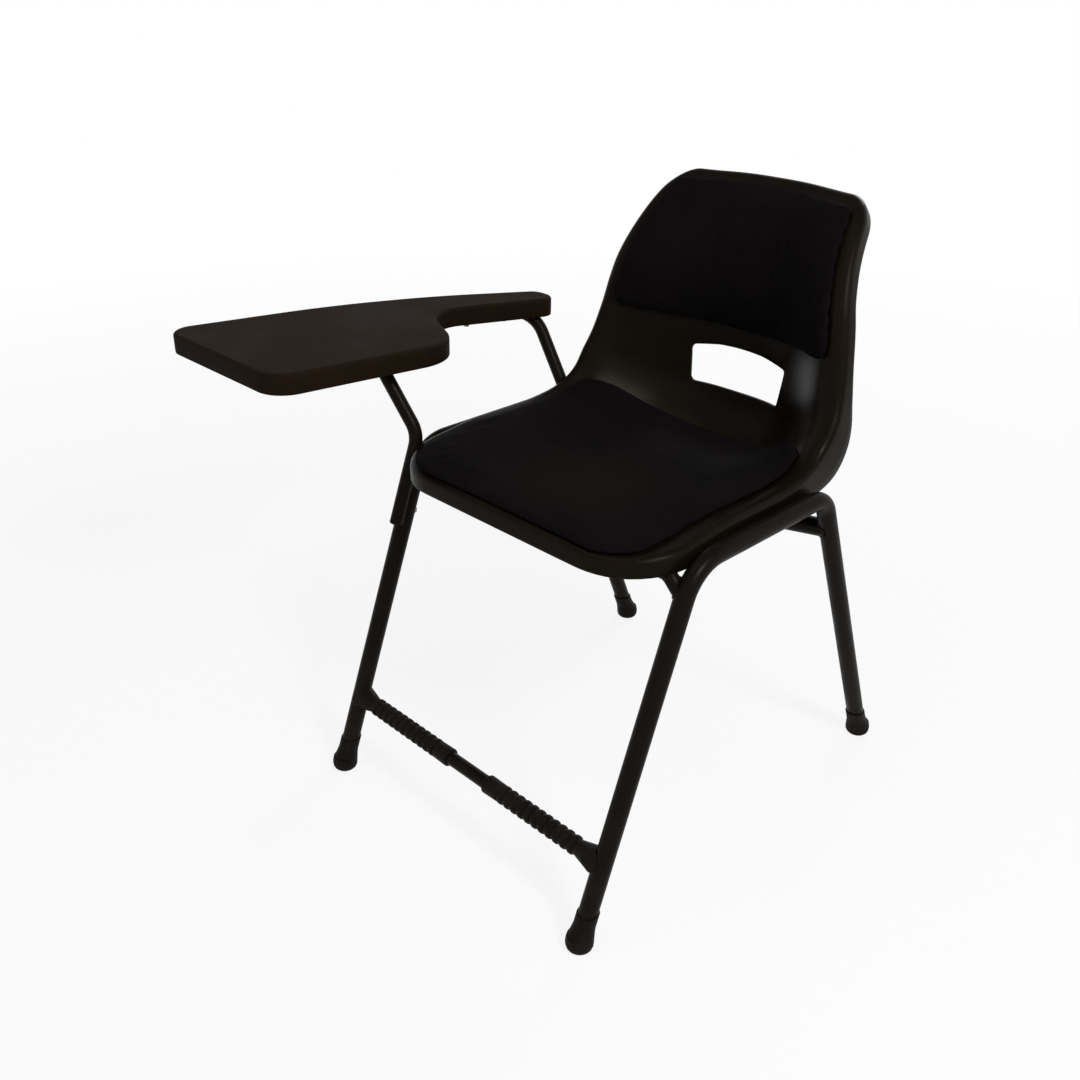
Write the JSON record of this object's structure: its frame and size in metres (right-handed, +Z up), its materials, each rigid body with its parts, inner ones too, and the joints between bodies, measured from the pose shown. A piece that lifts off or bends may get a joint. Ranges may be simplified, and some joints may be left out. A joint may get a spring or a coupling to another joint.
{
  "type": "tablet arm chair",
  "caption": "Classroom chair with a moulded bucket shell, fabric seat and back pads, a bent tube frame, a ribbed footrest and a fixed writing tablet on the sitter's right.",
  "frame": {"origin": "on the floor, midway between the four feet", "axes": "+Z up; the sitter faces -Y; +X is the sitter's left, so the tablet is on the -X side"},
  "size_m": [0.7763, 0.7038, 0.8159],
  "materials": {
    "frame_paint": "satin black-brown paint on steel tube",
    "shell_plastic": "finely grained black moulding",
    "tablet_plastic": "finely grained black-brown moulding",
    "sleeve_plastic": "satin moulded sleeve",
    "foot_plastic": "satin moulded cap",
    "fabric": "black woven upholstery",
    "board": "bare plywood",
    "steel": "dull zinc-plated steel"
  },
  "bodies": {
    "root": {"side_frame_left": "frame_paint", "side_frame_right": "frame_paint", "front_cross_bar": "frame_paint", "rear_cross_bar": "frame_paint", "footrest_bar": "frame_paint", "footrest_sleeve_left": "sleeve_plastic", "footrest_sleeve_right": "sleeve_plastic", "foot_front_left": "foot_plastic", "foot_front_right": "foot_plastic", "foot_rear_left": "foot_plastic", "foot_rear_right": "foot_plastic", "seat_shell": "shell_plastic", "seat_pad_board": "board", "seat_pad": "fabric", "back_pad_board": "board", "back_pad": "fabric", "shell_bolts": "steel", "shell_washers": "steel", "seat_pad_screws": "steel", "back_pad_screws": "steel", "tablet": "tablet_plastic", "tablet_support": "frame_paint", "tablet_support_plugs": "foot_plastic", "tablet_screws": "steel", "support_bolts": "steel", "support_washers": "steel", "support_inserts": "steel"}
  },
  "joints": []
}
